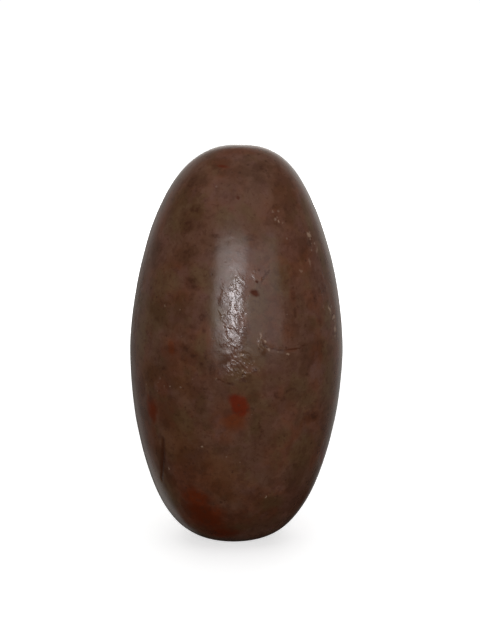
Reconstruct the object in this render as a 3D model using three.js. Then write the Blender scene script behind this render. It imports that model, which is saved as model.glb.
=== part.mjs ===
// A shiva lingam stone: a river stone of jasper-bearing quartz, rubbed by hand into a tall, egg-ended
// pillar and polished. It is one solid piece, and it stands on a small flat spot at its lower end.
// Millimetres, +Z up. The broad front faces -Y, and the origin is under the middle of the stone.
import * as THREE from "three";

// The stone as a whole
const HEIGHT = 100; // resting flat to crown
const WIDTH = 53.6; // side to side at the belt, the widest ring
const DEPTH = 50.9; // front to back at the belt
const BELT_HEIGHT = 48; // the belt sits a little below mid-height
const FLAT_CUT = 0.3; // slice that the resting flat takes off the lower tip

// The profile rounds over from the belt to each tip: shoulder says how soon it leaves the belt's
// width (lower is sooner), and tip says how blunt the end is (higher is blunter).
const UPPER_END = { shoulder: 1.6, tip: 2.53 };
const LOWER_END = { shoulder: 1.65, tip: 3.04 };
const BELT_SOFTNESS = 0.08; // share of each end over which the two curves melt together

// The small ways in which a hand-rubbed stone isn't a turned one
const LEAN = 0.95; // the top stands this much further right than the bottom
const CROWN_SHIFT = 0.6; // the crown's own further shift to the right
const CROWN_START = 80; // height where that shift begins
const WORN_FACES = 3; // broad faces rubbed onto the sides
const WORN_DEPTH = 0.25; // how far they rise and fall about the round
const WORN_TURN = 0.6; // where the first one starts, in radians
const WORN_TWIST = 2; // how far they turn about the stone from bottom to top, in radians

// Facets
const SEGMENTS = 64; // around the stone
const RINGS_PER_END = 20; // from the belt to each tip

const STONE_COLOUR = 0x5d3f31; // dark reddish brown
const STONE_ROUGHNESS = 0.25; // hand polish

// Radius at a share of the way from the belt (0) to a tip (1).
function radiusAt(share, end) {
  const rounding = share ** 2 * ((1 + BELT_SOFTNESS) / (share + BELT_SOFTNESS)) ** (2 - end.shoulder);
  return (WIDTH / 2) * Math.max(0, 1 - rounding) ** (1 / end.tip);
}

// Half of the upright outline, from the middle of the resting flat up to the crown.
// The rings crowd towards the tips, where the outline turns fastest.
function stoneProfile() {
  const lowerReach = BELT_HEIGHT + FLAT_CUT;
  const upperReach = HEIGHT - BELT_HEIGHT;
  const flatTurn = Math.asin(BELT_HEIGHT / lowerReach);
  const points = [new THREE.Vector2(0, 0)];
  for (let ring = RINGS_PER_END; ring > 0; ring--) {
    const share = Math.sin((flatTurn * ring) / RINGS_PER_END);
    points.push(new THREE.Vector2(radiusAt(share, LOWER_END), BELT_HEIGHT - share * lowerReach));
  }
  for (let ring = 0; ring < RINGS_PER_END; ring++) {
    const share = Math.sin(((Math.PI / 2) * ring) / RINGS_PER_END);
    points.push(new THREE.Vector2(radiusAt(share, UPPER_END), BELT_HEIGHT + share * upperReach));
  }
  points.push(new THREE.Vector2(0, HEIGHT));
  return points;
}

// How far a worn face lifts (+) or flattens (-) the side, fading out at both tips.
function wornRelief(angle, height) {
  const climb = height / HEIGHT;
  return WORN_DEPTH * Math.sin(Math.PI * climb) * Math.sin(WORN_FACES * angle + WORN_TURN + WORN_TWIST * climb);
}

// Where the stone's middle line passes at a height, left or right of upright.
function middleLine(height) {
  const crown = Math.max(0, (height - CROWN_START) / (HEIGHT - CROWN_START));
  return LEAN * (height / HEIGHT - 0.5) + CROWN_SHIFT * crown ** 2;
}

// Turns the round, upright form into the hand-rubbed one.
function rubByHand(geometry) {
  const places = geometry.attributes.position;
  for (let i = 0; i < places.count; i++) {
    const height = places.getZ(i);
    const radius = Math.hypot(places.getX(i), places.getY(i));
    const angle = Math.atan2(places.getY(i), places.getX(i));
    const rubbed = radius > 0 ? radius + wornRelief(angle, height) : 0;
    const across = rubbed * Math.cos(angle) + middleLine(height);
    const along = (rubbed * Math.sin(angle) * DEPTH) / WIDTH;
    places.setXYZ(i, across, along, height);
  }
}

// Brings the middle of the stone's box over the origin, with the resting flat at height 0.
function standOverOrigin(geometry) {
  geometry.computeBoundingBox();
  const middle = geometry.boundingBox.getCenter(new THREE.Vector3());
  geometry.translate(-middle.x, -middle.y, 0);
}

function makeStone() {
  const geometry = new THREE.LatheGeometry(stoneProfile(), SEGMENTS);
  geometry.rotateX(Math.PI / 2);
  rubByHand(geometry);
  standOverOrigin(geometry);
  geometry.computeVertexNormals();
  const material = new THREE.MeshStandardMaterial({
    color: STONE_COLOUR,
    roughness: STONE_ROUGHNESS,
    metalness: 0,
  });
  const stone = new THREE.Mesh(geometry, material);
  stone.name = "stone";
  return stone;
}

const group = new THREE.Group();
group.add(makeStone());

export default group;
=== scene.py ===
"""A shiva lingam stone in a plain pale studio.

One piece, the hand-polished stone, stands for the CAD solid of the same shape and adds what a solid can't
hold: the uneven polish, the pitted patches, the small chips, the groove, and the stone's own colours, into
which some painted shade, painted light and painted glints are laid.
Blender units are metres, +Z up, and the broad front faces -Y. Sizes below are in millimetres unless they
say otherwise. Places on the stone are (turn, height): degrees to the right of the front, and mm above the
flat.
"""

import bisect
import math

import bmesh
import bpy
from mathutils import Matrix, Vector, kdtree, noise


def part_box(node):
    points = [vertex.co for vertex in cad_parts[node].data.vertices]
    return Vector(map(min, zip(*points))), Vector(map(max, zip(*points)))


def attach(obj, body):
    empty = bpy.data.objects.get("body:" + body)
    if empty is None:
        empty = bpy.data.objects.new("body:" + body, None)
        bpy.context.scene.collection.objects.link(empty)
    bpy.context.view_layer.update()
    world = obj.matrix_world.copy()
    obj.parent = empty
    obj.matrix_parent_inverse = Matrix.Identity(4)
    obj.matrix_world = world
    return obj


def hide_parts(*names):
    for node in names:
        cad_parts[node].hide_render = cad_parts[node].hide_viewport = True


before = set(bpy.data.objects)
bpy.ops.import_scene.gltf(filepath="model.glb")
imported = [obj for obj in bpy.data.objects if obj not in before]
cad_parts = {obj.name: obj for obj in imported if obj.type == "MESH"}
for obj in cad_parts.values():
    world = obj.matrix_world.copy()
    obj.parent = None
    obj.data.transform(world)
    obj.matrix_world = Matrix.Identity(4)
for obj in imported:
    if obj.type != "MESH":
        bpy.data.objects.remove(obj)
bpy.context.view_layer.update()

MM = 0.001  # metres in a millimetre

# The stone, from the frame
STONE_LOW, STONE_HIGH = (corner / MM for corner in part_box("stone"))
WIDTH, DEPTH, HEIGHT = STONE_HIGH - STONE_LOW

# The stone's form, as the CAD solid has it. From the belt to each end, a lower shoulder rounds over sooner
# and a higher tip is blunter.
BELT_HEIGHT = 48  # the widest ring
FLAT_CUT = 0.3  # slice that the resting flat takes off the lower tip
UPPER_END = {"shoulder": 1.6, "tip": 2.53}
LOWER_END = {"shoulder": 1.65, "tip": 3.04}
BELT_SOFTNESS = 0.08  # share of each end over which the two curves melt together
LEAN = 0.95  # the top stands this much further right than the bottom
CROWN_SHIFT = 0.6  # the crown's own further shift to the right
CROWN_START = 80  # height where that shift begins
WORN_FACES = 3  # broad faces rubbed onto the sides
WORN_DEPTH = 0.25  # how far they rise and fall about the round
WORN_TURN = 0.6  # where the first one starts, in radians
WORN_TWIST = 2  # how far they turn about the stone from bottom to top, in radians

# The mesh: a cube's square-cut faces, wrapped round the form
COLUMNS_PER_SIDE = 104
ROWS = 166
CAP_SHARE = 0.165  # share of the walk from crown to flat that each end cap takes
PROFILE_STEPS = 400  # stations along each end's curve
NOISE_SEED = 5  # fixed, so that the pitted patches come out the same on each run

# The polished surface's own relief. Its waves are (height, length, shift of the noise).
WAVES = [(0.10, 13, (0, 0, 0)), (0.03, 5, (7, 3, 1)), (0.010, 2, (1, 9, 4))]
HOLLOW_SPACING = 6
HOLLOW_DEPTH = 0.05
HOLLOW_RADII = (0.08, 0.16)  # the least and what chance adds to it, as shares of the spacing
SEAM_RELIEF = 0.030  # in the pitted patches
FLAT_RIM = (0.3, 4)  # heights between which the relief sets in, so that the flat stays flat

# Marks are (turn, height, half width, half height, lean), the lean in degrees clockwise.
JASPER = [
    (1.8, 40.5, 2.6, 1.5, 25),
    (3.7, 38.8, 1.8, 1.7, 0),
    (1.4, 38.9, 1.4, 1.5, 0),
    (84, 63, 1.9, 3.0, -25),
    (122, 27, 3.0, 1.6, 15),
    (120, 29, 1.6, 1.8, 0),
    (158, 71, 2.2, 1.0, -35),
    (-168, 41, 1.4, 3.4, 20),
    (-128, 57, 1.3, 1.0, 0),
    (-112, 22, 2.4, 1.2, 30),
]
RED_CLOUDS = [
    (-26.6, 14.2, 3.6, 3.2, 30),
    (-23.0, 9.6, 5.6, 4.2, 40),
    (-10, 4.6, 4.0, 2.4, 0),
    (-51.0, 36.6, 1.8, 2.8, 2),
    (-19.4, 95.6, 1.7, 0.45, 0),
    (78, 22, 4.6, 2.6, 30),
    (141, 60, 3.0, 4.4, -20),
    (-151, 52, 4.2, 2.6, 35),
    (-104, 66, 2.4, 4.6, 0),
]
RUSTY_CLOUDS = [
    (-34.9, 53.0, 0.9, 1.5, -15),
    (-0.6, 35.9, 2.6, 2.2, 30),
    (1.6, 37.3, 1.8, 1.8, 0),
    (82, 60, 2.6, 2.0, 0),
    (120, 25, 3.0, 2.2, 20),
    (-165, 37, 2.0, 2.4, 0),
    (-114, 19.6, 2.4, 1.8, 30),
]
RED_BLUSHES = [
    (-26, 17, 7.0, 7.4, -35),
    (-8, 9, 6.0, 4.0, 0),
    (-34.5, 53.0, 3.0, 3.2, 0),
    (-41, 42.8, 2.8, 2.4, 0),
    (-64, 43, 3.0, 6.0, 0),
    (-56, 30, 2.6, 5.0, 0),
    (33.6, 65.5, 0.9, 2.2, 0),
    (30.5, 52.4, 1.6, 0.6, 0),
    (0, 99.0, 6.0, 2.0, 0),
    (96, 44, 5.0, 7.0, 20),
    (146, 84, 6.0, 3.5, 0),
    (-145, 18, 6.5, 5.0, 25),
    (-86, 74, 5.0, 6.5, -20),
    (176, 56, 4.5, 8.0, 10),
]
OLIVE_TINTS = [
    (-47, 84, 4.2, 6.0, 0),
    (-9, 84, 2.4, 2.6, 0),
    (-46, 68, 5.0, 4.0, 0),
    (-22, 71, 2.4, 3.0, 0),
    (-50, 60, 5.4, 4.4, 0),
    (-61, 54, 2.8, 8.0, 0),
    (-18, 54.6, 2.0, 2.4, 0),
    (-12, 62, 1.8, 7.0, -6),
    (12.0, 63.5, 3.0, 6.0, 0),
    (10.0, 52, 3.6, 5.0, 0),
    (5.0, 45.6, 5.2, 4.0, 0),
    (12.0, 40.0, 3.4, 2.6, 0),
    (11.3, 35.5, 1.6, 4.0, 0),
    (-29, 36, 3.4, 3.4, 0),
    (-53, 15, 4.0, 6.0, -20),
    (-2, 6.5, 5.0, 2.4, 0),
    (30.2, 42.2, 2.4, 1.8, 0),
    (36, 43, 3.6, 3.0, 0),
    (44, 26, 4.6, 5.4, 0),
    (27, 13.5, 4.4, 2.6, 0),
    (60, 44, 3.0, 8.0, 0),
    (60, 59.6, 2.4, 3.8, 0),
    (26, 70, 3.2, 4.6, 0),
    (42, 39.5, 3.0, 3.0, 0),
    (27, 30.6, 2.6, 2.6, 0),
    (61, 84, 1.6, 6.0, 10),
    (64, 73, 1.4, 5.0, 0),
    (108, 76, 4.0, 6.0, 20),
    (-98, 38, 4.5, 5.5, -25),
    (152, 36, 5.0, 6.0, 0),
    (-150, 78, 5.5, 4.0, 15),
]
MAUVE_TINTS = [
    (43, 13.5, 5.4, 4.4, 0),
    (55, 69, 3.4, 7.0, 0),
    (40, 77, 4.4, 3.6, 0),
    (-29, 69.5, 3.0, 3.0, 0),
    (-5, 88, 2.6, 2.4, 0),
    (18, 43, 2.6, 3.0, 0),
    (-52, 78, 2.6, 5.0, 0),
    (-4, 98, 4.0, 1.6, 0),
    (88, 50, 4.0, 6.0, 0),
    (138, 68, 5.0, 4.0, 20),
    (-160, 24, 5.0, 6.0, 0),
    (-120, 66, 4.0, 5.0, -15),
]
TAWNY_TINTS = [
    (-34, 30, 6.0, 7.0, 0),
    (-54, 28, 3.0, 6.0, 0),
    (-27, 43.5, 3.4, 3.0, 0),
    (-12, 20, 7.0, 8.0, 0),
    (-52, 45, 5.0, 5.0, 0),
    (112, 20, 6.0, 5.0, 0),
    (170, 88, 7.0, 4.0, 0),
    (-135, 50, 4.0, 7.0, 0),
    (-90, 12, 6.0, 5.0, 0),
]
DARK_SPOTS = [
    (-25.4, 69.3, 1.3, 1.0, 20),
    (-23.0, 67.6, 1.2, 0.7, 0),
    (-38.9, 65.3, 0.9, 0.6, 0),
    (-17.5, 60.9, 1.0, 1.2, 0),
    (-16.4, 57.6, 0.6, 1.1, 0),
    (-24, 58.4, 1.4, 0.5, 10),
    (-31.3, 85.7, 1.6, 1.1, 0),
    (-34.4, 81.6, 1.5, 1.8, 0),
    (-45.6, 91.6, 1.4, 2.0, 10),
    (-46.2, 94.6, 0.4, 0.8, 0),
    (-26.5, 53.2, 0.6, 1.3, -35),
    (-22.3, 51.6, 1.2, 0.5, 40),
    (-17.5, 49.6, 0.6, 0.5, 0),
    (-15.0, 51.3, 0.5, 0.6, 0),
    (-11.8, 48.4, 1.0, 1.6, -12),
    (-46.0, 49.4, 1.3, 1.0, 0),
    (-39.4, 47.7, 1.0, 0.6, 0),
    (-2.2, 45.0, 0.9, 0.5, 20),
    (4.5, 45.8, 1.4, 0.6, -10),
    (10.2, 48.0, 0.8, 0.5, 0),
    (7.5, 51.2, 0.7, 0.6, 0),
    (53.8, 77.2, 1.1, 0.9, 0),
    (30.2, 42.4, 1.9, 1.2, 0),
    (26.5, 40.8, 1.1, 0.8, 0),
    (22.0, 41.8, 0.8, 1.2, 0),
    (44.0, 36.0, 1.2, 0.8, 0),
    (49.0, 35.0, 1.9, 1.0, 0),
    (38.9, 52.2, 1.1, 0.7, 0),
    (57.9, 43.6, 0.6, 0.6, 0),
    (41.6, 45.8, 0.7, 0.4, 30),
    (-15.5, 28.8, 1.1, 0.4, -12),
    (-9.5, 29.6, 0.8, 0.35, 10),
    (-31.0, 75.0, 1.5, 1.5, 0),
    (-52.0, 38.6, 0.8, 1.0, 0),
    (-28.5, 75.8, 0.7, 0.5, 0),
    (8.8, 79.3, 2.0, 0.9, 0),
    (-13.9, 79.7, 1.5, 0.6, 0),
    (32.3, 98.2, 0.6, 0.5, 0),
    (27, 95.2, 0.9, 0.8, 0),
    (31, 93.4, 0.5, 0.9, 0),
    (37, 91.5, 1.0, 0.8, 0),
    (-51, 39.8, 0.7, 1.4, 0),
    (49.5, 63.9, 0.8, 2.2, -3),
    (59.6, 66.0, 0.9, 1.7, 8),
    (62.5, 68.2, 0.6, 1.0, 30),
    (33.8, 65.8, 0.7, 1.8, 0),
    (34.0, 61.4, 0.5, 1.4, 0),
    (76, 66, 1.4, 0.8, 20),
    (92, 24, 1.8, 1.2, -10),
    (104, 52, 0.9, 1.8, 15),
    (131, 74, 1.6, 0.9, 0),
    (165, 31, 1.3, 1.3, 0),
    (-172, 86, 1.6, 0.8, 0),
    (-142, 44, 0.8, 1.9, 25),
    (-119, 73, 1.3, 1.0, 0),
    (-97, 47, 1.7, 0.9, -20),
    (-78, 31, 1.2, 1.5, 0),
]

# Broad darker parts, some of them painted shade at the crown's corners, near the edges and beside the
# highlight, and more towards the bottom
DARK_PARTS_AND_PAINTED_SHADE = [
    (-31.0, 75.0, 2.8, 2.8, 0),
    (-35.4, 82.0, 2.2, 2.2, 0),
    (-40, 90, 2.4, 5.0, 10),
    (-24.7, 68.6, 2.0, 1.8, 0),
    (-31, 84, 3.2, 3.2, 0),
    (-42, 61.0, 4.4, 3.2, 0),
    (-36, 50.6, 3.4, 2.4, 0),
    (-23, 51.8, 4.0, 1.3, 35),
    (2, 94.4, 5.4, 1.7, 0),
    (-35.6, 44.4, 2.6, 2.0, 0),
    (-25, 24.5, 4.4, 3.8, -20),
    (-7, 17.4, 2.6, 3.0, 0),
    (-39, 37, 3.6, 5.0, 0),
    (25, 9.5, 4.6, 2.6, 0),
    (-19.4, 41.2, 2.4, 3.6, 0),
    (-49.0, 23.6, 1.6, 4.6, -14),
    (-23.0, 9.0, 6.4, 3.4, 40),
    (-29.5, 63.2, 3.0, 3.0, 0),
    (-59, 75, 2.0, 3.4, 0),
    (-45, 18.4, 2.0, 2.0, 0),
    (61, 31.6, 2.2, 2.4, 0),
    (-6.4, 50.2, 1.2, 2.2, 0),
    (-60, 42, 1.6, 3.0, 0),
    (24, 8.4, 5.0, 4.0, 0),
    (13.2, 16.2, 2.2, 2.0, 0),
    (-8, 7.0, 6.0, 2.4, 0),
    (-44, 91, 2.2, 3.6, 10),
    (-26, 50.8, 2.6, 1.6, 20),
    (-26, 96.4, 3.0, 2.0, 0),
    (31, 95.4, 2.4, 2.2, 0),
    (21, 93.0, 2.0, 1.6, 0),
    (39, 12.0, 5.2, 3.2, 0),
    (43, 20.0, 3.4, 3.4, 0),
    (50, 13.0, 4.6, 4.6, 0),
    (-45, 46, 5.0, 2.4, 0),
    (39, 47, 1.8, 2.2, 0),
    (23, 13.5, 3.6, 2.0, 0),
    (44, 57.8, 1.8, 2.2, 0),
    (9.4, 41.6, 1.5, 1.7, 0),
    (-62, 34.6, 3.4, 1.9, 0),
    (47, 34.6, 2.6, 1.2, 0),
    (44, 51.4, 4.2, 3.0, 0),
    (12, 32.2, 1.6, 2.2, 0),
    (46, 76.2, 1.8, 3.6, 0),
    (42, 89, 3.4, 6.6, 10),
    (16, 9.4, 9.0, 4.0, 0),
    (-10, 6, 8.0, 3.0, 0),
    (77, 42, 3.0, 4.0, 0),
    (98, 60, 4.2, 2.8, 15),
    (125, 82, 3.6, 2.4, 0),
    (115, 16, 5.0, 3.0, 0),
    (160, 46, 2.4, 4.6, -20),
    (178, 74, 2.4, 2.2, 0),
    (-165, 28, 4.0, 2.6, 20),
    (-140, 64, 2.6, 4.2, 0),
    (-115, 55, 3.2, 2.6, 0),
    (-90, 84, 2.6, 2.2, 0),
    (-80, 20, 4.0, 3.0, 0),
]
# Milkier parts where the quartz shows through, some of them painted light above, beside and below the
# highlight and along the edges
MILKY_PARTS_AND_PAINTED_LIGHT = [
    (8.4, 87.3, 5.0, 3.4, 0),
    (-2, 84.0, 10.0, 3.4, 0),
    (23, 88.4, 2.0, 2.2, 0),
    (-10.5, 89, 3.0, 2.6, 0),
    (22, 84.6, 2.4, 2.2, 0),
    (32, 81, 2.2, 2.0, 0),
    (10.4, 70, 2.4, 3.4, 0),
    (-22, 73.4, 2.0, 3.0, 0),
    (55, 42, 2.6, 3.6, 0),
    (-21, 90, 1.6, 5.4, 0),
    (-45, 68.4, 5.4, 3.0, 0),
    (-61, 54, 3.4, 8.0, 0),
    (-18, 66, 3.0, 6.5, 0),
    (59.5, 59.5, 2.4, 2.6, 0),
    (9.5, 51.5, 2.8, 5.2, 0),
    (-17, 57, 2.0, 2.6, 0),
    (51, 74, 2.0, 2.0, 0),
    (73, 39, 2.4, 3.6, 0),
    (51.5, 45, 3.0, 3.4, 0),
    (-60, 21, 2.6, 4.5, -10),
    (1.0, 49.6, 2.2, 3.4, 0),
    (1.0, 12.1, 1.8, 1.8, 0),
    (71, 47, 2.4, 4.0, 0),
    (27, 34.5, 3.6, 2.4, -15),
    (-5, 33.6, 3.4, 3.2, 0),
    (5.6, 18.8, 5.6, 3.2, 0),
    (30.4, 19, 1.6, 2.8, 0),
    (-26, 39.4, 2.2, 2.0, 0),
    (-27.5, 55.2, 2.0, 1.2, 0),
    (-24, 61.5, 2.0, 1.8, 0),
    (-38, 61.0, 1.6, 2.4, 0),
    (85, 54, 3.2, 2.8, 0),
    (110, 40, 4.0, 3.2, 20),
    (150, 66, 4.2, 2.6, 0),
    (135, 34, 3.6, 2.6, -15),
    (-175, 50, 3.0, 5.0, 0),
    (-150, 30, 4.4, 3.0, 0),
    (-125, 80, 3.8, 3.2, 0),
    (-95, 62, 3.4, 2.8, 25),
    (-70, 82, 2.8, 4.0, 0),
]
# Pale chips; some of them are painted glints, the bright specks beside the highlight and on the right edge
PALE_CHIPS_AND_PAINTED_GLINTS = [
    (54.8, 79.0, 1.0, 0.6, 40),
    (63.2, 60.6, 1.0, 0.35, 45),
    (67.4, 58.4, 0.7, 0.6, 0),
    (67.4, 55.4, 0.6, 0.9, 0),
    (30.3, 82.8, 0.3, 0.34, 0),
    (-18.3, 28.8, 0.3, 0.3, 0),
    (-9.6, 46.1, 0.38, 0.34, 0),
    (3.8, 48.1, 0.5, 0.3, -20),
    (2.9, 51.9, 0.32, 0.3, 0),
    (17.6, 53.0, 0.3, 0.5, -30),
    (28.5, 51.6, 0.5, 0.28, 0),
    (13.4, 56.2, 0.2, 0.8, 10),
    (15.6, 55.0, 0.26, 0.6, -20),
    (22.0, 15.2, 0.3, 0.3, 0),
    (-43.9, 21.6, 0.3, 0.3, 0),
    (-35.7, 43.4, 0.26, 0.24, 0),
]
FAINT_CHIPS = [
    (60.0, 75.2, 0.9, 0.5, -50),
    (49.9, 72.7, 0.35, 1.0, 0),
    (41.2, 70.9, 0.6, 0.32, 15),
    (66.9, 53.7, 0.6, 0.4, 0),
    (27.0, 85.2, 0.3, 0.28, 0),
    (29.6, 83.8, 0.3, 0.3, 0),
    (28.0, 83.4, 0.26, 0.26, 0),
    (33.4, 82.4, 0.26, 0.3, 0),
    (-41.6, 62.6, 0.24, 0.4, 0),
    (-31.2, 62.1, 0.26, 0.26, 0),
    (22.6, 52.2, 0.5, 0.24, 0),
    (34.8, 52.5, 0.3, 0.28, 0),
    (12.2, 54.4, 0.22, 0.5, 0),
    (4.8, 46.9, 0.6, 0.24, 30),
    (-0.6, 50.0, 0.36, 0.28, 0),
    (9.7, 50.2, 0.3, 0.4, 10),
    (-3.1, 47.1, 0.4, 0.24, 20),
]

# Patches strewn with tan crystal flecks
FLECKED_PATCHES = [
    (22, 88.6, 1.6, 1.8, 0),
    (28.0, 83.9, 1.9, 2.2, 10),
    (55.5, 77.2, 1.6, 2.8, 0),
    (66, 57.0, 1.6, 4.4, 0),
    (14.9, 54.8, 1.2, 2.4, -15),
    (2.5, 48.6, 5.0, 2.0, 0),
    (-37, 44.2, 2.6, 1.6, 20),
    (80, 45, 2.4, 6.0, 20),
    (112, 64, 4.0, 2.0, -10),
    (137, 22, 3.0, 3.0, 0),
    (165, 80, 3.4, 2.0, 15),
    (-160, 60, 2.0, 5.0, -25),
    (-133, 72, 3.0, 2.4, 0),
    (-116, 42, 3.6, 2.0, 30),
    (-84, 30, 2.0, 4.0, 0),
]

# Patches where the polish never closed the stone's own pits and seams
PITTED_PATCHES = [
    (-1.2, 61.0, 2.7, 11.0, 0),
    (2.0, 48.8, 3.9, 3.2, 0),
    (13.8, 70.4, 1.4, 1.6, 0),
    (14.4, 55.2, 1.2, 2.2, 0),
    (59, 64, 2.4, 5.0, 0),
    (-76, 63, 4.0, 9.0, -10),
    (100, 30, 7.0, 5.0, 20),
    (133, 58, 5.0, 11.0, -12),
    (-170, 68, 6.0, 8.0, 20),
    (-138, 34, 5.0, 9.0, -20),
    (-108, 86, 7.0, 4.0, 0),
]

# Chips and dents are marks with a depth at the end, in mm. A chip is unpolished and redder inside, and a
# dent isn't.
CHIPS = [
    (10.6, 66.5, 1.1, 0.7, 25, 0.11),
    (12.0, 69.1, 0.4, 0.35, 0, 0.08),
    (0.6, 88.5, 0.4, 0.45, 0, 0.06),
    (84, 56.4, 0.8, 0.9, 0, 0.14),
    (-23.1, 36.3, 0.3, 0.26, 0, 0.06),
    (93, 77, 0.9, 1.2, 20, 0.16),
    (153, 50, 1.1, 0.7, -25, 0.15),
    (-157, 83, 1.1, 0.6, 10, 0.12),
    (118, 88, 0.7, 0.8, 0, 0.12),
    (170, 23, 1.2, 0.7, 15, 0.14),
]
DENTS = [
    (55.0, 77.4, 1.3, 1.2, 0, 0.10),
    (-12.6, 29.0, 1.3, 0.5, 8, 0.06),
    (2.6, 49.2, 3.8, 2.6, 0, 0.07),
    (30.6, 41.8, 1.5, 1.1, 0, 0.05),
    (43.7, 30.4, 1.8, 1.3, 35, 0.06),
    (92, 76, 1.9, 2.8, 20, 0.08),
    (152, 49, 2.2, 1.6, -25, 0.08),
    (-156, 82, 2.4, 1.4, 10, 0.08),
    (117, 88, 1.8, 1.7, 0, 0.08),
    (171, 22, 2.6, 1.5, 15, 0.08),
    (-70, 44, 3.4, 2.2, 0, 0.06),
    (70, 24, 2.8, 3.6, 0, 0.06),
]

# Cracks are (half width, depth, the places that they pass), sizes in mm
CRACKS = [
    (0.44, 0.12, [(-44.4, 29.4), (-44.9, 28.0), (-46.9, 24.7), (-49.2, 22.4), (-52.0, 20.1),
                  (-55.2, 18.0)]),
    (0.64, 0.12, [(-45.7, 26.8), (-47.2, 24.7), (-49.4, 22.4), (-51.0, 21.0)]),
    (0.16, 0.07, [(14.0, 54.9), (16.6, 53.5), (21.0, 53.0), (26.2, 52.4), (30.4, 52.6), (34.8, 52.6),
                  (39.0, 53.2)]),
    (0.20, 0.08, [(20.0, 71.6), (16.4, 70.3), (14.6, 69.0)]),
    (0.16, 0.07, [(-9.7, 46.1), (-7.6, 45.9), (-5.4, 45.3), (-2.2, 44.9)]),
    (0.16, 0.08, [(91, 70), (95, 66.5), (96.5, 61), (101, 58), (103, 54)]),
    (0.30, 0.14, [(-93, 55), (-95.5, 51.5), (-95, 48.5)]),
    (0.16, 0.08, [(-134, 52), (-138, 48.5), (-144, 47), (-148, 43)]),
    (0.26, 0.14, [(-126, 69), (-128.5, 66), (-129, 62.5)]),
    (0.14, 0.07, [(158, 78), (163, 76), (168, 76.5), (174, 73.5), (179, 73)]),
    (0.20, 0.10, [(126, 44), (129, 40), (128, 37), (131, 34)]),
]

FAR = 3.0  # how far from its middle a mark still counts, in its own half sizes

# The marks that the mesh keeps as attributes, by the attribute's name
MARKS = {
    "shade": DARK_PARTS_AND_PAINTED_SHADE,
    "milky_and_painted_light": MILKY_PARTS_AND_PAINTED_LIGHT,
    "olive_tint": OLIVE_TINTS,
    "mauve_tint": MAUVE_TINTS,
    "tawny_tint": TAWNY_TINTS,
    "red_blush": RED_BLUSHES,
    "red_cloud": RED_CLOUDS,
    "rusty_cloud": RUSTY_CLOUDS,
    "jasper": JASPER,
    "dark_spot": DARK_SPOTS,
    "flecked": FLECKED_PATCHES,
    "pitted": PITTED_PATCHES,
}

# The camera
CAMERA_LENS = 100  # mm, on a 36 mm frame
CAMERA_TILT = 10  # degrees down
CAMERA_DISTANCE = 447
CAMERA_AIM = (0.91, 0, 55.95)

# The lights, in metres and watts. Soft boxes are (name, degrees right of the front, degrees up, distance,
# width, height, power, colour, whether the polish mirrors it).
WHITE = (1, 1, 1)
SOFT_BOXES = [
    ("key_core", 1.4, 10.5, 0.78, 0.11, 0.16, 0.80, (1.0, 0.97, 1.02), True),
    ("key", -3, 13.1, 0.8, 0.45, 0.43, 1.7, WHITE, True),
    ("side_glow", 32.5, 11, 0.8, 0.46, 0.42, 0.5, WHITE, True),
    ("top", 8, 80, 0.8, 1.0, 1.0, 3.6, WHITE, False),
    ("back_key", 180, -1, 0.8, 0.17, 0.26, 0.45, WHITE, True),
    ("back_fill", 180, 25, 0.9, 1.0, 0.8, 3.0, WHITE, False),
    ("left_fill", -88, -6, 0.8, 0.5, 0.5, 1.0, WHITE, False),
    ("right_fill", 88, -6, 0.8, 0.5, 0.5, 1.0, WHITE, False),
]

# The room's own soft glows are (direction, edge, full part, level), the middle two as cosines of the angle
# off the direction.
GLOWS = [
    ((0, 0.3, 1), 0.2, 1.0, 0.05),
    ((0, 1, 0.05), 0.79, 0.97, 0.12),
    ((0.35, 1, 0.00), 0.86, 0.98, 0.24),
    ((0.43, 1, 0.42), 0.88, 0.98, 0.24),
    ((-0.45, 1, 0.35), 0.89, 0.985, 0.21),
    ((-0.52, 1, -0.70), 0.97, 0.992, 0.22),
    ((-0.92, 1, -0.92), 0.984, 0.995, 0.28),
    ((-0.57, 1, -0.46), 0.98, 0.996, 0.14),
    ((-0.9, 1, -0.03), 0.80, 0.99, 0.13),
    ((1.0, 1, 0.12), 0.80, 0.99, 0.16),
    ((0, 1, 0.18), 0.94, 0.995, 0.50),
]
ROOM_LEVEL = 0.013  # away from the glows
ROOM_COLOUR = (1.0, 0.98, 0.94)

# The studio's paper
ROOM_RADIUS = 4  # metres
FLOOR_GLOW = 0.62  # its own light under the stone, where a soft shadow has to show
GLOW_REACH = (0.10, 0.35)  # metres out from the stone between which that light comes to its full level


# ---------------------------------------------------------------- form


def radius_at(share, end):
    """Radius at a share of the way from the belt (0) to a tip (1)."""
    rounding = share**2 * ((1 + BELT_SOFTNESS) / (share + BELT_SOFTNESS)) ** (2 - end["shoulder"])
    return WIDTH / 2 * max(0, 1 - rounding) ** (1 / end["tip"])


def walk_profile():
    """Stations down half of the upright outline, from the crown to the middle of the flat.

    Each is (distance walked, radius, height)."""
    upper_reach = HEIGHT - BELT_HEIGHT
    lower_reach = BELT_HEIGHT + FLAT_CUT
    flat_turn = math.asin(BELT_HEIGHT / lower_reach)
    outline = []
    for step in range(PROFILE_STEPS):
        share = math.cos(math.pi / 2 * step / PROFILE_STEPS)
        outline.append((radius_at(share, UPPER_END), BELT_HEIGHT + share * upper_reach))
    for step in range(PROFILE_STEPS + 1):
        share = math.sin(flat_turn * step / PROFILE_STEPS)
        outline.append((radius_at(share, LOWER_END), BELT_HEIGHT - share * lower_reach))
    outline.append((0, 0))
    stations = [(0, *outline[0])]
    for (r0, z0), (r1, z1) in zip(outline, outline[1:]):
        stations.append((stations[-1][0] + math.hypot(r1 - r0, z1 - z0), r1, z1))
    return stations


STATIONS = walk_profile()
WALKED = [station[0] for station in STATIONS]


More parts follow.
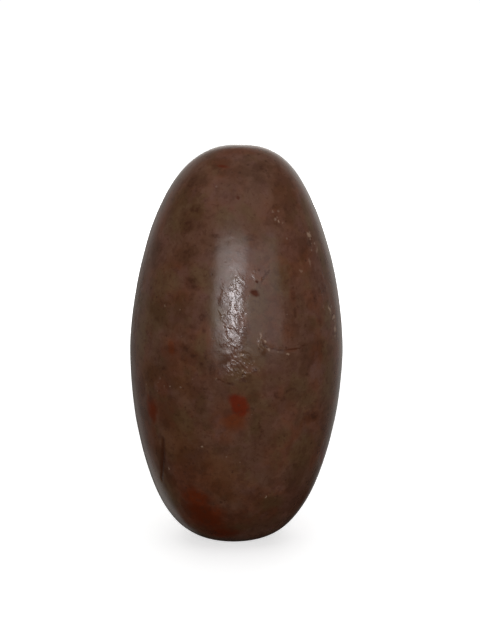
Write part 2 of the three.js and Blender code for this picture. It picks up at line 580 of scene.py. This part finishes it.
def station_at(share):
    """(radius, height) at a share of the walk from the crown (0) to the middle of the flat (1)."""
    walked = share * WALKED[-1]
    after = min(max(bisect.bisect_left(WALKED, walked), 1), len(WALKED) - 1)
    d0, r0, z0 = STATIONS[after - 1]
    d1, r1, z1 = STATIONS[after]
    blend = (walked - d0) / (d1 - d0)
    return r0 + (r1 - r0) * blend, z0 + (z1 - z0) * blend


def form_point(radius, height, angle):
    """The hand-rubbed form's point, in mm, for a ring's radius and height and an angle from +X."""
    climb = height / HEIGHT
    worn = WORN_DEPTH * math.sin(math.pi * climb)
    wave = math.sin(WORN_FACES * angle + WORN_TURN + WORN_TWIST * climb)
    rubbed = radius + worn * wave if radius > 0 else 0
    crown = max(0, (height - CROWN_START) / (HEIGHT - CROWN_START))
    middle = LEAN * (climb - 0.5) + CROWN_SHIFT * crown**2
    return Vector((rubbed * math.cos(angle) + middle, rubbed * math.sin(angle) * DEPTH / WIDTH, height))


def wrap(corner):
    """The form's point for a point of the cube from -1 to 1: its rows run round the stone."""
    x, y, z = corner
    across = max(abs(x), abs(y))
    if across < 1:
        down = CAP_SHARE * across if z > 0 else 1 - CAP_SHARE * across
    else:
        down = CAP_SHARE + (1 - 2 * CAP_SHARE) * (1 - z) / 2
    if across == 0:
        angle = 0
    elif abs(x) >= abs(y):
        angle = math.pi / 4 * y / x + (math.pi if x < 0 else 0)
    else:
        angle = math.pi / 2 - math.pi / 4 * x / y + (math.pi if y < 0 else 0)
    radius, height = station_at(down)
    return form_point(radius, height, angle)


def middle_of_form():
    """The middle of the form's box, left to right and front to back."""
    ring = [math.radians(degrees) for degrees in range(0, 360, 2)]
    points = [form_point(radius, height, angle) for _, radius, height in STATIONS[::20] for angle in ring]
    middle = [(min(p[axis] for p in points) + max(p[axis] for p in points)) / 2 for axis in range(2)]
    return Vector((*middle, 0))


MIDDLE = middle_of_form()


def place_on_stone(turn, height):
    """The point of the stone at a place, in mm."""
    share = (height - BELT_HEIGHT) / (HEIGHT - BELT_HEIGHT)
    end = UPPER_END
    if share < 0:
        share = (BELT_HEIGHT - height) / (BELT_HEIGHT + FLAT_CUT)
        end = LOWER_END
    return form_point(radius_at(share, end), height, math.radians(turn - 90)) - MIDDLE


def frame_at(turn, height, lean):
    """The point at a place, and the surface's own right, inward and up there, leaned clockwise."""
    here = place_on_stone(turn, height)
    right = (place_on_stone(turn + 1, height) - place_on_stone(turn - 1, height)).normalized()
    up = (place_on_stone(turn, height + 0.5) - place_on_stone(turn, height - 0.5)).normalized()
    inward = up.cross(right).normalized()
    axes = Matrix((right, inward, up)).transposed()
    return here, axes @ Matrix.Rotation(math.radians(lean), 3, "Y")


# ---------------------------------------------------------------- relief


def smooth(value, start, end):
    """0 up to start, 1 from end on, eased between them."""
    share = min(max((value - start) / (end - start), 0), 1)
    return share * share * (3 - 2 * share)


class Mark:
    """An oval on the surface, at a place."""

    def __init__(self, turn, height, half_width, half_height, lean):
        self.centre, self.axes = frame_at(turn, height, lean)
        self.back = self.axes.transposed()
        self.half_sizes = (half_width, max(half_width, half_height), half_height)
        self.reach = FAR * max(half_width, half_height)

    def away(self, point):
        """Distance from the middle: 1 on the oval's edge, and no more than FAR."""
        offset = self.back @ (point - self.centre)
        return min(FAR, math.hypot(*(offset[axis] / self.half_sizes[axis] for axis in range(3))))


class Crack:
    """A crack in the surface, in straight runs from place to place."""

    def __init__(self, half_width, places):
        self.half_width = half_width
        self.corners = [place_on_stone(*place) for place in places]
        self.centre = self.corners[len(places) // 2]
        self.reach = FAR * half_width + max((corner - self.centre).length for corner in self.corners)

    def away(self, point):
        """Distance from the crack's line: 1 on its edge, and no more than FAR."""
        nearest = FAR
        for start, end in zip(self.corners, self.corners[1:]):
            run = end - start
            share = min(max((point - start).dot(run) / run.length_squared, 0), 1)
            nearest = min(nearest, (point - start - run * share).length / self.half_width)
        return nearest


CARVED = {
    "chip": [(Mark(*mark), depth) for *mark, depth in CHIPS],
    "crack": [(Crack(half_width, places), depth) for half_width, depth, places in CRACKS],
    "dent": [(Mark(*mark), depth) for *mark, depth in DENTS],
}


def nearest_away(tree, count, marks):
    """For each vertex, the distance from the nearest mark's middle, in that mark's own terms."""
    nearest = [FAR] * count
    for mark in marks:
        for point, index, _ in tree.find_range(mark.centre, mark.reach):
            nearest[index] = min(nearest[index], mark.away(point))
    return nearest


def dent_depths(tree, count):
    """For each vertex, how deep the chips, cracks and dents go there, in mm."""
    depths = [0] * count
    for dent, depth in CARVED["chip"] + CARVED["crack"] + CARVED["dent"]:
        for point, index, _ in tree.find_range(dent.centre, dent.reach):
            ragged = dent.away(point) + 0.5 * noise.noise(point / 1.3)
            depths[index] = max(depths[index], depth * smooth(ragged, 1.5, 0.3))
    return depths


def relief_at(point, pitted):
    """How far the polished surface stands out (+) or in (-) at a point of the form, in mm."""
    rise = sum(height * noise.noise(point / length + Vector(shift)) for height, length, shift in WAVES)
    nearest, centres = noise.voronoi(point / HOLLOW_SPACING)
    least, more = HOLLOW_RADII
    chance = abs(noise.cell(centres[0] * 31))  # each hollow's own
    rise -= HOLLOW_DEPTH * smooth(nearest[0], least + more * chance, 0)
    if pitted > 0:
        seam = 1 - abs(noise.noise(point / 2.2 + 0.4 * noise.noise_vector(point / 1.3))) * 2.2
        rise += SEAM_RELIEF * pitted * (seam - 0.5)
    return rise


def patch_strength(away, point):
    """How pitted the surface is: 1 well inside a patch and 0 outside, with a ragged edge between."""
    ragged = away + 0.5 * noise.noise(point / 3.0) + 0.3 * noise.noise(point / 1.2)
    return smooth(ragged, 1.5, 0.35)


def keep_marks(mesh, tree):
    """Keeps each vertex's distance from every kind of mark, as attributes that the finish reads."""
    shapes = {name: [Mark(*mark) for mark in marks] for name, marks in MARKS.items()}
    shapes["chip"] = [shape for shape, _ in CARVED["chip"]]
    shapes["crack"] = [shape for shape, _ in CARVED["crack"]]
    for name, marks in shapes.items():
        layer = mesh.verts.layers.float.new(name)
        for vertex, away in zip(mesh.verts, nearest_away(tree, len(mesh.verts), marks)):
            vertex[layer] = away
    pitted = mesh.verts.layers.float["pitted"]
    for vertex in mesh.verts:
        vertex[pitted] = patch_strength(vertex[pitted], vertex.co)


def carve(mesh, tree):
    """Moves the vertices in and out along the form's own normals."""
    pitted = mesh.verts.layers.float["pitted"]
    for vertex, depth in zip(mesh.verts, dent_depths(tree, len(mesh.verts))):
        rise = relief_at(vertex.co, vertex[pitted]) - depth
        vertex.co += vertex.normal * rise * smooth(vertex.co.z, *FLAT_RIM)


def work_surface(mesh):
    """Keeps where the marks are, and carves the relief."""
    mesh.normal_update()
    mesh.verts.index_update()
    tree = kdtree.KDTree(len(mesh.verts))
    for vertex in mesh.verts:
        tree.insert(vertex.co, vertex.index)
    tree.balance()
    keep_marks(mesh, tree)
    carve(mesh, tree)


def fall(edge):
    """How much higher one end of an edge is than the other."""
    return abs(edge.verts[0].co.z - edge.verts[1].co.z)


def grid_cube():
    """A cube from -1 to 1 with square-cut faces: ROWS up the sides and COLUMNS_PER_SIDE across."""
    mesh = bmesh.new()
    bmesh.ops.create_cube(mesh, size=2)
    upright = [edge for edge in mesh.edges if fall(edge) > 1]
    bmesh.ops.subdivide_edges(mesh, edges=upright, cuts=ROWS - 1)
    level = [edge for edge in mesh.edges if fall(edge) < 1 / ROWS]
    bmesh.ops.subdivide_edges(mesh, edges=level, cuts=COLUMNS_PER_SIDE - 1, use_grid_fill=True)
    return mesh


def make_stone():
    """The polished stone's piece: the form as one closed mesh, with its relief and its marks."""
    noise.seed_set(NOISE_SEED)
    mesh = grid_cube()
    for vertex in mesh.verts:
        vertex.co = wrap(vertex.co) - MIDDLE
    bmesh.ops.recalc_face_normals(mesh, faces=mesh.faces)
    work_surface(mesh)
    bmesh.ops.scale(mesh, vec=(MM, MM, MM), verts=mesh.verts)
    for face in mesh.faces:
        face.smooth = True
    data = bpy.data.meshes.new("polished_stone")
    mesh.to_mesh(data)
    mesh.free()
    stone = bpy.data.objects.new("polished_stone", data)
    bpy.context.scene.collection.objects.link(stone)
    return stone


# ---------------------------------------------------------------- shader maths


class Socket:
    """One output of a shader node. Arithmetic on it adds Math nodes."""

    def __init__(self, shader, output):
        self.shader = shader
        self.output = output

    def math(self, operation, *values):
        return self.shader.node("ShaderNodeMath", {"operation": operation}, dict(enumerate(values)))

    def __add__(self, other):
        return self.math("ADD", self, other)

    def __sub__(self, other):
        return self.math("SUBTRACT", self, other)

    def __mul__(self, other):
        return self.math("MULTIPLY", self, other)

    def __truediv__(self, other):
        return self.math("DIVIDE", self, other)

    __radd__ = __add__


class Shader:
    """A material's nodes, or the world's."""

    def __init__(self, owner):
        owner.use_nodes = True
        self.tree = owner.node_tree
        self.tree.nodes.clear()

    def node(self, kind, settings, inputs, output=0):
        """Adds a node: its settings first, then its sockets' values or links."""
        made = self.tree.nodes.new(kind)
        for name, value in settings.items():
            setattr(made, name, value)
        for name, value in inputs.items():
            if isinstance(value, Socket):
                self.tree.links.new(value.output, made.inputs[name])
            else:
                made.inputs[name].default_value = value
        return Socket(self, made.outputs[output]) if made.outputs else made

    def ease(self, value, start, end, low=0.0, high=1.0):
        """low up to start, high from end on, eased between them."""
        return self.node(
            "ShaderNodeMapRange",
            {"interpolation_type": "SMOOTHSTEP"},
            {"Value": value, "From Min": start, "From Max": end, "To Min": low, "To Max": high},
        )

    def blend(self, factor, first, second):
        """The first colour where the factor is 0 and the second where it is 1."""
        settings = {"data_type": "RGBA", "blend_type": "MIX"}
        return self.node("ShaderNodeMix", settings, {0: factor, 6: first, 7: second}, output=2)

    def vector(self, operation, inputs, output=0):
        inputs = dict(enumerate(inputs))
        return self.node("ShaderNodeVectorMath", {"operation": operation}, inputs, output)

    def scaled(self, colour, by):
        return self.node("ShaderNodeVectorMath", {"operation": "SCALE"}, {0: colour, "Scale": by})

    def grain(self, place, size, detail=2.0, roughness=0.5, seed=0.0, output=0):
        """Soft noise from 0 to 1 with blobs about size mm across."""
        inputs = {"Vector": place, "W": seed, "Scale": 1 / size, "Detail": detail, "Roughness": roughness}
        return self.node("ShaderNodeTexNoise", {"noise_dimensions": "4D"}, inputs, output)

    def wander(self, place, size, reach):
        """The place, carried up to about half of reach mm off course, so that edges come out ragged."""
        drift = self.grain(place, size, 3, output=1)
        drift = self.vector("SUBTRACT", [drift, (0.5, 0.5, 0.5)])
        return self.vector("MULTIPLY_ADD", [drift, (reach,) * 3, place])

    def maximum(self, first, second):
        return self.node("ShaderNodeMath", {"operation": "MAXIMUM"}, {0: first, 1: second})

    def attribute(self, name):
        """A number that the mesh keeps for each of its points."""
        return self.node("ShaderNodeAttribute", {"attribute_name": name}, {}, output=2)

    def marked(self, name, ragged, start, end, strength=1.0):
        """How strongly a kind of mark shows: not at all past start, and in full within end.

        Both are distances from the mark's middle, 1 on its edge, and ragged is added to that distance."""
        return self.ease(self.attribute(name) + ragged, start, end, 0, strength)

    def nearest_mark(self, place, marks):
        """Distance from the nearest mark's middle, 1 on its edge."""
        nearest = 9
        for mark in [Mark(*mark) for mark in marks]:
            inputs = {"Location": mark.centre, "Rotation": mark.axes.to_euler(), "Scale": mark.half_sizes}
            own = self.node("ShaderNodeMapping", {"vector_type": "TEXTURE"}, {"Vector": place, **inputs})
            away = self.vector("LENGTH", [own], output=1)
            nearest = self.node("ShaderNodeMath", {"operation": "MINIMUM"}, {0: away, 1: nearest})
        return nearest

    def cell_value(self, place, size, channel):
        """A number from 0 to 1 for each crystal, about size mm across."""
        cell = self.node("ShaderNodeTexVoronoi", {}, {"Vector": place, "Scale": 1 / size}, output=1)
        return self.node("ShaderNodeSeparateColor", {}, {0: cell}, output=channel)

    def dots(self, place, spacing, radius, share, offset):
        """Soft round dots of about radius mm, in a share of cells that are spacing mm apart.

        The offset sets one layer of dots apart from the next."""
        place = self.vector("ADD", [place, (offset,) * 3])
        inputs = {"Vector": place, "Scale": 1 / spacing}
        distance = self.node("ShaderNodeTexVoronoi", {}, inputs)
        cell = self.node("ShaderNodeTexVoronoi", {}, inputs, output=1)
        pick = self.node("ShaderNodeSeparateColor", {}, {0: cell})
        size = self.node("ShaderNodeSeparateColor", {}, {0: cell}, output=1)
        reach = (size * 0.9 + 0.5) * (radius / spacing)
        dot = self.ease(distance / reach, 1.2, 0.6)
        return dot * self.ease(pick, share, share - 0.02)


# Stone colours
REDDISH = (0.112, 0.0400, 0.0200, 1)
GREY_BROWN = (0.103, 0.0470, 0.0275, 1)
OLIVE = (0.092, 0.0495, 0.0225, 1)
MAUVE = (0.106, 0.0465, 0.0325, 1)
TAWNY = (0.105, 0.0415, 0.0170, 1)
JASPER_RED = (0.124, 0.0126, 0.0036, 1)
RUST = (0.118, 0.0255, 0.0070, 1)
CLOUD_RED = (0.106, 0.0185, 0.0050, 1)
BLUSH_RED = (0.116, 0.034, 0.016, 1)
DARK_BROWN = (0.060, 0.022, 0.012, 1)
PALE_TAN = (0.30, 0.19, 0.14, 1)
# the pale chips' near-white, also the colour of the painted glints
CHIP_WHITE_AND_PAINTED_GLINT = (0.50, 0.34, 0.235, 1)
CHIP_RED = (0.088, 0.022, 0.009, 1)
CRACK_BROWN = (0.062, 0.016, 0.0055, 1)

# What the darkest and the milkiest parts do to the colour, and so also the patches of painted shade and
# painted light
DARKENED = (1.00, 0.94, 0.86, 1)
MILKIEST_AND_PAINTED_LIGHT = (1.52, 1.60, 1.72, 1)

QUARTZ_IOR = 1.54


def cloudy_browns(shader, place):
    """Reddish and greyer brown drifting into each other over centimetres, with olive and mauve between."""
    base = shader.blend(shader.ease(shader.grain(place, 11, 3, 0.5), 0.38, 0.60), REDDISH, GREY_BROWN)
    crystals = shader.wander(place, 2.0, 2.6)
    olive = shader.ease(shader.grain(place, 4.5, 3, 0.5, seed=3), 0.50, 0.70, 0, 0.6)
    base = shader.blend(olive, base, OLIVE)
    mauve = shader.ease(shader.grain(place, 3.6, 3, 0.5, seed=41), 0.52, 0.68, 0, 0.6)
    mauve = mauve + shader.ease(shader.cell_value(crystals, 2.6, 1), 0.65, 0.95, 0, 0.3)
    return shader.blend(mauve, base, MAUVE)


def tinted(shader, place, base):
    """Lays the named tints, blushes and jasper over the browns, from the softest to the crispest."""
    loose = shader.grain(place, 3.0, 4, 0.6, seed=2) * 2.4 - 1.2
    ragged = shader.grain(place, 1.6, 4, 0.65, seed=6) * 1.1 - 0.55
    tints = (("tawny_tint", TAWNY, 0.7), ("mauve_tint", MAUVE, 0.6),
             ("olive_tint", OLIVE, 0.7), ("red_blush", BLUSH_RED, 0.5))
    for name, colour, strength in tints:
        base = shader.blend(shader.marked(name, loose, 1.4, 0.4, strength), base, colour)
    base = shader.blend(shader.marked("red_cloud", loose * 0.6, 1.6, 0.40), base, CLOUD_RED)
    base = shader.blend(shader.marked("rusty_cloud", loose * 0.5, 1.6, 0.3, 0.9), base, RUST)
    jasper_red = shader.blend(shader.grain(place, 2.2, 3), JASPER_RED, CLOUD_RED)
    return shader.blend(shader.marked("jasper", ragged, 1.35, 0.65), base, jasper_red)


def toned(shader, place, base):
    """Dark spots and blotches, the richer and milkier crystals of the quartz, and patches of painted shade
    and painted light.
    """
    ragged = shader.grain(place, 1.4, 5, 0.65, seed=9) * 2.0 - 1.0
    dark = shader.marked("dark_spot", ragged, 1.4, 0.5, 0.85)
    dark = dark * shader.ease(shader.grain(place, 0.8, 3, 0.6, seed=71), 0.40, 0.60, 0.35, 1)
    blotches = shader.ease(shader.grain(place, 3.0, 5, 0.6, seed=21), 0.52, 0.60, 0, 0.35)
    streaks = shader.ease(shader.grain(place, 1.0, 4, 0.6, seed=33), 0.56, 0.64, 0, 0.50)
    base = shader.blend(shader.maximum(dark, shader.maximum(blotches, streaks)), base, DARK_BROWN)
    loose = shader.grain(place, 2.4, 4, 0.6, seed=51) * 1.6 - 0.8
    # the milkier patches: partly the quartz's own, partly painted light about the highlight and along the
    # edges
    milky_and_painted_light = shader.marked("milky_and_painted_light", loose, 1.4, 0.5, 0.36)
    # the darker patches: partly the stone's darker parts, partly painted shade at the crown, edges, beside
    # the highlight and low down
    shade = shader.marked("shade", loose, 1.35, 0.65, 0.58)
    large = shader.cell_value(shader.wander(place, 2.0, 2.6), 2.8, 0)
    small = shader.cell_value(shader.wander(place, 0.9, 1.1), 1.1, 0)
    tone = shader.grain(place, 5.0, 6, 0.7, seed=5) * 2.2 + shader.grain(place, 0.6, 3, 0.7, seed=27) * 0.7
    tone = tone + large * 0.28 + small * 0.22 + milky_and_painted_light - shade - 1.14
    return shader.vector("MULTIPLY", [base, shader.blend(tone, DARKENED, MILKIEST_AND_PAINTED_LIGHT)])


def with_specks_and_chips(shader, place, fine, flecked, pitted, base):
    """Tan crystal specks, thick in the flecked patches and thin elsewhere, and the pale chips, some of
    them painted glints.
    """
    thick = shader.dots(fine, 1.1, 0.32, 0.5, 11) * (flecked * 0.85 + pitted * 0.2)
    thin = shader.dots(fine, 2.8, 0.22, 0.3, 53) * 0.4
    base = shader.blend(shader.maximum(thick, thin), base, PALE_TAN)
    for marks, strength in ((FAINT_CHIPS, 0.22), (PALE_CHIPS_AND_PAINTED_GLINTS, 0.5)):
        away = shader.nearest_mark(shader.wander(place, 0.7, 1.1), marks)
        base = shader.blend(shader.ease(away, 1.3, 0.4, 0, strength), base, CHIP_WHITE_AND_PAINTED_GLINT)
    return base


def fine_pits(shader, fine, flecked, pitted):
    """Dark pits, thick in the flecked and pitted patches and thin elsewhere."""
    thick = shader.dots(fine, 1.5, 0.26, 0.5, 23) * (flecked * 0.6 + pitted * 0.6)
    thin = shader.dots(fine, 2.2, 0.30, 0.35, 61) * 0.6
    return shader.maximum(thick, thin)


def uneven_polish(shader, place, fine, flecked, pitted, pits):
    """Bump only: faint grain all over, and lumps, slanting seams and holes in the pitted patches."""
    slanted = {"Vector": fine, "Rotation": (0, math.radians(-32), 0), "Scale": (0.8, 0.8, 1.9)}
    slanted = shader.node("ShaderNodeMapping", {"vector_type": "TEXTURE"}, slanted)
    seam = shader.grain(slanted, 3.6, 3, 0.6, seed=13)
    seam = shader.node("ShaderNodeMath", {"operation": "ABSOLUTE"}, {0: seam - 0.5})
    ridges = shader.ease(seam, 0.08, 0.0)
    lumps = shader.grain(slanted, 2.0, 2, 0.5, seed=15)
    grit = shader.grain(fine, 0.9, 3, 0.6, seed=43)
    holes = shader.dots(fine, 1.3, 0.34, 0.75, 37)
    coarse = pitted * (flecked * 0.8 + 1)
    rise = shader.grain(place, 1.0, 5, 0.65, seed=17) * 0.018
    rise = rise + coarse * (lumps * 0.08 + grit * 0.028 + ridges * 0.044 - holes * 0.06) - pits * 0.015
    return shader.node("ShaderNodeBump", {}, {"Strength": 1, "Distance": MM, "Height": rise})


def stone_finish():
    """Polished reddish-brown quartz with jasper in it, unpolished and redder inside the chips."""
    material = bpy.data.materials.new("stone_finish")
    shader = Shader(material)
    place = shader.node("ShaderNodeTexCoord", {}, {}, output=3)
    place = shader.node("ShaderNodeMapping", {}, {"Vector": place, "Scale": (1 / MM,) * 3})
    fine = shader.wander(place, 0.7, 0.35)
    pitted = shader.attribute("pitted")
    flecked = shader.ease(shader.attribute("flecked"), 1.3, 0.5)
    pits = fine_pits(shader, fine, flecked, pitted)
    broken = shader.grain(place, 0.8, 3) * 0.8 - 0.4
    crack = shader.marked("crack", broken * 1.6, 2.3, 0.3, 0.78)
    chip = shader.marked("chip", broken * 1.5, 1.5, 0.6)

    base = cloudy_browns(shader, place)
    base = tinted(shader, place, base)
    base = toned(shader, place, base)
    base = with_specks_and_chips(shader, place, fine, flecked, pitted, base)
    base = shader.blend(crack, base, CRACK_BROWN)
    base = shader.blend(pits, base, DARK_BROWN)

    bump = uneven_polish(shader, place, fine, flecked, pitted, pits)
    dullness = shader.grain(place, 5, 4, 0.6, seed=19) * 0.12 + 0.16
    dullness = dullness - pitted * 0.05
    polished = {"Base Color": base, "Roughness": dullness, "IOR": QUARTZ_IOR, "Normal": bump}
    polished = shader.node("ShaderNodeBsdfPrincipled", {}, polished)
    unpolished = {"Base Color": CHIP_RED, "Roughness": 0.7, "Specular IOR Level": 0.2, "Normal": bump}
    unpolished = shader.node("ShaderNodeBsdfPrincipled", {}, unpolished)
    surface = shader.node("ShaderNodeMixShader", {}, {0: chip, 1: polished, 2: unpolished})
    shader.node("ShaderNodeOutputMaterial", {}, {"Surface": surface})
    return material


# ---------------------------------------------------------------- studio


def place_camera():
    tilt = math.radians(CAMERA_TILT)
    aim = Vector(CAMERA_AIM) * MM
    back = Vector((0, -math.cos(tilt), math.sin(tilt)))
    data = bpy.data.cameras.new("camera")
    data.lens = CAMERA_LENS
    camera = bpy.data.objects.new("camera", data)
    camera.location = aim + back * CAMERA_DISTANCE * MM
    camera.rotation_euler = (math.pi / 2 - tilt, 0, 0)
    bpy.context.scene.collection.objects.link(camera)
    bpy.context.scene.camera = camera


def soft_box(name, turn, tilt, distance, width, height, power, colour, mirrored):
    """An area light that faces the stone's middle."""
    data = bpy.data.lights.new(name, "AREA")
    data.shape = "RECTANGLE"
    data.size = width
    data.size_y = height
    data.energy = power
    data.color = colour
    light = bpy.data.objects.new(name, data)
    across, up = math.radians(turn), math.radians(tilt)
    away = Vector((math.sin(across) * math.cos(up), -math.cos(across) * math.cos(up), math.sin(up)))
    light.location = Vector((0, 0, HEIGHT / 2 * MM)) + away * distance
    light.rotation_euler = away.to_track_quat("Z", "Y").to_euler()
    light.visible_camera = False
    light.visible_glossy = mirrored
    bpy.context.scene.collection.objects.link(light)


def glow_towards(shader, way, direction, edge, full, level):
    """A soft glow of the room around a direction."""
    cosine = shader.vector("DOT_PRODUCT", [way, Vector(direction).normalized()], output=1)
    return shader.ease(cosine, edge, full, 0, level)


def light_room():
    world = bpy.data.worlds.new("room")
    bpy.context.scene.world = world
    shader = Shader(world)
    way = shader.node("ShaderNodeTexCoord", {}, {}, output=0)
    level = sum(glow_towards(shader, way, *glow) for glow in GLOWS) + ROOM_LEVEL
    colour = shader.scaled(ROOM_COLOUR, level)
    background = shader.node("ShaderNodeBackground", {}, {"Color": colour, "Strength": 1})
    shader.node("ShaderNodeOutputWorld", {}, {"Surface": background})


def pale_paper(name, near_glow):
    """Paper lit to white, with near_glow of its own light near the stone and all of it further out."""
    material = bpy.data.materials.new(name)
    shader = Shader(material)
    place = shader.node("ShaderNodeTexCoord", {}, {}, output=3)
    out = shader.vector("LENGTH", [place], output=1)
    glow = shader.blend(shader.ease(out, *GLOW_REACH, near_glow, 1), (0, 0, 0, 1), (1, 1, 1, 1))
    paper = {"Base Color": (0.8, 0.8, 0.8, 1), "Roughness": 1, "Specular IOR Level": 0,
             "Emission Color": glow, "Emission Strength": 1}
    surface = shader.node("ShaderNodeBsdfPrincipled", {}, paper)
    shader.node("ShaderNodeOutputMaterial", {}, {"Surface": surface})
    return material


def set_paper(name, mesh, near_glow):
    """Paper that the camera sees, and that neither lights, shades nor shows in the stone."""
    data = bpy.data.meshes.new(name)
    mesh.to_mesh(data)
    mesh.free()
    data.materials.append(pale_paper(name + "_paper", near_glow))
    paper = bpy.data.objects.new(name, data)
    paper.visible_glossy = False
    paper.visible_diffuse = False
    paper.visible_shadow = False
    bpy.context.scene.collection.objects.link(paper)


def build_studio():
    for box in SOFT_BOXES:
        soft_box(*box)
    light_room()
    floor = bmesh.new()
    bmesh.ops.create_circle(floor, cap_ends=True, segments=96, radius=ROOM_RADIUS)
    set_paper("floor", floor, FLOOR_GLOW)
    dome = bmesh.new()
    bmesh.ops.create_uvsphere(dome, u_segments=64, v_segments=32, radius=ROOM_RADIUS)
    set_paper("backdrop", dome, 1.0)
    bpy.context.scene.view_settings.view_transform = "Standard"


place_camera()
stone = make_stone()
stone.data.materials.append(stone_finish())
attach(stone, "root")
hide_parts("stone")
build_studio()
